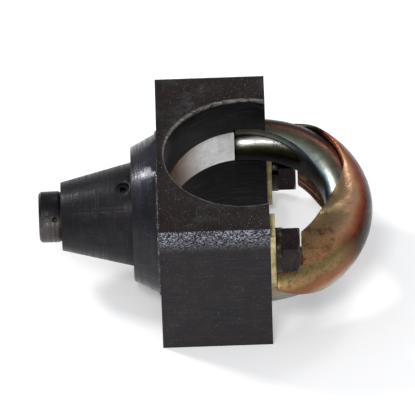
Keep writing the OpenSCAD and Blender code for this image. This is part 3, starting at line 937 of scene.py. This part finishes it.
class CLAMP_OT_strap(ClampOperator, bpy.types.Operator):
    """Build the pressed strap over the hoop, and its two lugs"""

    bl_idname = "clamp.strap"
    bl_label = "Strap and lugs"

    def execute(self, context):
        s = sizes()
        angles = stations()
        rows = len(angles) - 1
        deselect_all()
        bpy.ops.mesh.primitive_grid_add(x_subdivisions=rows, y_subdivisions=SECTION_STEPS, size=2)
        strap = bpy.context.object
        strap.name = strap.data.name = "strap_shell_pressed"
        lines = [section_lines(angle) for angle in angles]
        cells = grid_cells(strap, rows)
        bpy.ops.object.mode_set(mode="EDIT")
        bpy.ops.mesh.select_mode(type="FACE")
        bpy.ops.mesh.select_all(action="DESELECT")
        bpy.ops.object.mode_set(mode="OBJECT")
        for face in strap.data.polygons:
            corner = min(cells[v] for v in face.vertices)
            face.select = is_notched(*corner, rows)
        bpy.ops.object.mode_set(mode="EDIT")
        bpy.ops.mesh.delete(type="FACE")
        bpy.ops.mesh.select_mode(type="VERT")
        bpy.ops.object.mode_set(mode="OBJECT")
        cells = grid_cells(strap, rows)
        apply_modifier(strap, "SOLIDIFY", thickness=0.1, offset=0.0)
        count = len(cells)
        for k, vertex in enumerate(strap.data.vertices):
            i, j = cells[k % count]
            skin = STRAP_TOP_R - (0 if k < count else s.strap_wall)
            vertex.co = strap_place(angles[i], lines[i][j], skin)
        only(strap)
        bpy.ops.object.mode_set(mode="EDIT")
        bpy.ops.mesh.select_all(action="SELECT")
        bpy.ops.mesh.normals_make_consistent(inside=False)
        bpy.ops.object.mode_set(mode="OBJECT")
        apply_modifier(
            strap, "BEVEL", width=s.worn_edge, segments=2, limit_method="ANGLE", angle_limit=math.radians(50)
        )
        smooth(strap, 60)
        finish_piece(strap, "hoop", "strap_shell", finish("yellow_zinc_strap"))
        for side in ("near", "far"):
            lug = worn_copy(side + "_lug", side + "_lug_sheared", s.fine_edge)
            finish_piece(lug, "hoop", side + "_lug", finish("yellow_zinc_lug"))
        return {"FINISHED"}


class CLAMP_OT_bolts(ClampOperator, bpy.types.Operator):
    """Build the two hexagon bolts with cut threads, and their spring washers"""

    bl_idname = "clamp.bolts"
    bl_label = "Bolts and washers"

    def execute(self, context):
        s = sizes()
        for side in ("near", "far"):
            washer = worn_copy(side + "_spring_washer", side + "_spring_washer_split", s.fine_edge)
            finish_piece(
                washer, "hoop", side + "_spring_washer", finish("black_oxide_bolt")
            )
            head = worn_copy(side + "_bolt", side + "_bolt_head", 0)
            only(head)
            bpy.ops.object.mode_set(mode="EDIT")
            bpy.ops.mesh.select_all(action="SELECT")
            bpy.ops.mesh.bisect(
                plane_co=(HEAD_LOW_X, 0, 0), plane_no=(1, 0, 0), clear_inner=True, use_fill=True
            )
            bpy.ops.object.mode_set(mode="OBJECT")
            apply_modifier(
                head, "BEVEL", width=s.fine_edge, segments=2, limit_method="ANGLE",
                angle_limit=math.radians(20),
            )
            smooth(head, 25)
            thread = self.thread(side, s)
            only(head)
            thread.select_set(True)
            bpy.ops.object.join()
            head.name = head.data.name = side + "_bolt_threaded"
            finish_piece(
                head, side + "_screw", side + "_bolt", finish("black_oxide_bolt")
            )
        return {"FINISHED"}

    def thread(self, side, s):
        """One shank: a tooth swept along its helix as an open strip, over a plain core that fills it."""
        root = THREAD_CREST - s.thread_depth
        start = BOLT_LOW.x + SHANK_TIP
        turns = int((HEAD_LOW_X - start) / s.thread_pitch) - 1
        centre = BOLT_AXIS if side == "near" else half_turned(BOLT_AXIS)
        tooth = [(0.0, root), (0.38, THREAD_CREST), (0.5, THREAD_CREST), (0.88, root), (1.0, root)]
        mesh = bpy.data.meshes.new("thread_profile")
        mesh.from_pydata(
            [(start + share * s.thread_pitch, 0, reach) for share, reach in tooth],
            [(i, i + 1) for i in range(len(tooth) - 1)], [],
        )
        thread = bpy.data.objects.new("thread_profile", mesh)
        bpy.context.scene.collection.objects.link(thread)
        apply_modifier(
            thread, "SCREW", axis="X", angle=2 * math.pi, screw_offset=s.thread_pitch, iterations=turns,
            steps=28, render_steps=28, use_merge_vertices=True, merge_threshold=0.001 * MM,
            use_normal_calculate=True,
        )
        deselect_all()
        bpy.ops.mesh.primitive_cylinder_add(
            vertices=48, radius=root + 0.02 * MM, depth=HEAD_LOW_X - BOLT_LOW.x + SHANK_TIP,
            location=((HEAD_LOW_X + BOLT_LOW.x + SHANK_TIP) / 2, 0, 0), rotation=(0, math.pi / 2, 0),
        )
        core = bpy.context.object
        bpy.ops.object.transform_apply(location=True, rotation=True, scale=True)
        apply_modifier(
            core, "BEVEL", width=SHANK_TIP, segments=2, limit_method="ANGLE", angle_limit=math.radians(40)
        )
        only(thread)
        core.select_set(True)
        bpy.ops.object.join()
        for vertex in thread.data.vertices:
            vertex.co += Vector((0, centre.y, centre.z))
        smooth(thread, 30)
        return thread


class CLAMP_OT_stage(ClampOperator, bpy.types.Operator):
    """Set out the pale floor, the soft lights and the camera"""

    bl_idname = "clamp.stage"
    bl_label = "Stage"

    def execute(self, context):
        scene = context.scene
        scene.view_settings.view_transform = "Standard"
        deselect_all()
        bpy.ops.mesh.primitive_plane_add(size=6, location=(0, 0, BLOCK_LOW.z - 0.05 * MM))
        floor = bpy.context.object
        floor.name = "studio_floor"
        floor.data.materials.append(floor_finish())

        world = bpy.data.worlds.new("studio")
        scene.world = world
        world.use_nodes = True
        world.node_tree.nodes["Background"].inputs["Color"].default_value = srgb("#f2f4f8")
        world.node_tree.nodes["Background"].inputs["Strength"].default_value = 0.5

        # name, place, size and power of each soft light, all aimed at the clamp
        lights = (
            ("key", (-0.25, -0.85, 1.25), 0.4, 6.5),
            ("low", (0.1, -1.35, 0.3), 0.3, 4.0),
            ("rim", (-0.95, 0.5, 0.88), 0.22, 9.0),
            ("crown", (0.35, 0.85, 1.0), 0.3, 2.4),
        )
        for name, place, size, power in lights:
            bpy.ops.object.light_add(type="AREA", location=place)
            light = bpy.context.object
            light.name = name + "_light"
            light.data.size = size
            light.data.energy = power
            aim = Vector((0, 0, AXIS_Z)) - Vector(place)
            light.rotation_euler = aim.to_track_quat("-Z", "Y").to_euler()

        target = Vector((-11.6, 0, 24.6)) * MM
        elevation, roll, reach = math.radians(41.2), math.radians(-1.97), 2.5
        back = Vector((0, -math.cos(elevation), math.sin(elevation)))
        bpy.ops.object.camera_add(location=target + back * reach)
        camera = bpy.context.object
        turn = (-back).to_track_quat("-Z", "Y")
        camera.rotation_mode = "QUATERNION"
        camera.rotation_quaternion = turn @ Matrix.Rotation(roll, 3, "Z").to_quaternion()
        camera.data.sensor_width = 36
        camera.data.lens = 36 * reach / 0.1257
        camera.data.clip_end = 20
        scene.camera = camera
        return {"FINISHED"}


class CLAMP_PT_panel(bpy.types.Panel):
    """Lists the clamp's pieces in the sidebar"""

    bl_idname = "CLAMP_PT_panel"
    bl_label = "Saddle Clamp"
    bl_space_type = "VIEW_3D"
    bl_region_type = "UI"
    bl_category = "Clamp"

    def draw(self, context):
        for operator in OPERATORS:
            self.layout.operator(operator.bl_idname)
        for group in (context.scene.clamp_sizes, context.scene.clamp_colours):
            for name in group.__annotations__:
                self.layout.prop(group, name)


OPERATORS = (
    CLAMP_OT_saddle,
    CLAMP_OT_weld,
    CLAMP_OT_spigot,
    CLAMP_OT_pin,
    CLAMP_OT_hoop,
    CLAMP_OT_strap,
    CLAMP_OT_bolts,
    CLAMP_OT_stage,
)
CLASSES = (ClampSizes, ClampColours, *OPERATORS, CLAMP_PT_panel)


def register():
    for cls in CLASSES:
        bpy.utils.register_class(cls)
    bpy.types.Scene.clamp_sizes = bpy.props.PointerProperty(type=ClampSizes)
    bpy.types.Scene.clamp_colours = bpy.props.PointerProperty(type=ClampColours)


def unregister():
    del bpy.types.Scene.clamp_colours
    del bpy.types.Scene.clamp_sizes
    for cls in reversed(CLASSES):
        bpy.utils.unregister_class(cls)


def main():
    register()
    bpy.ops.clamp.saddle()
    bpy.ops.clamp.weld()
    bpy.ops.clamp.spigot()
    bpy.ops.clamp.pin()
    bpy.ops.clamp.hoop()
    bpy.ops.clamp.strap()
    bpy.ops.clamp.bolts()
    bpy.ops.clamp.stage()


if __name__ == "__main__":
    main()
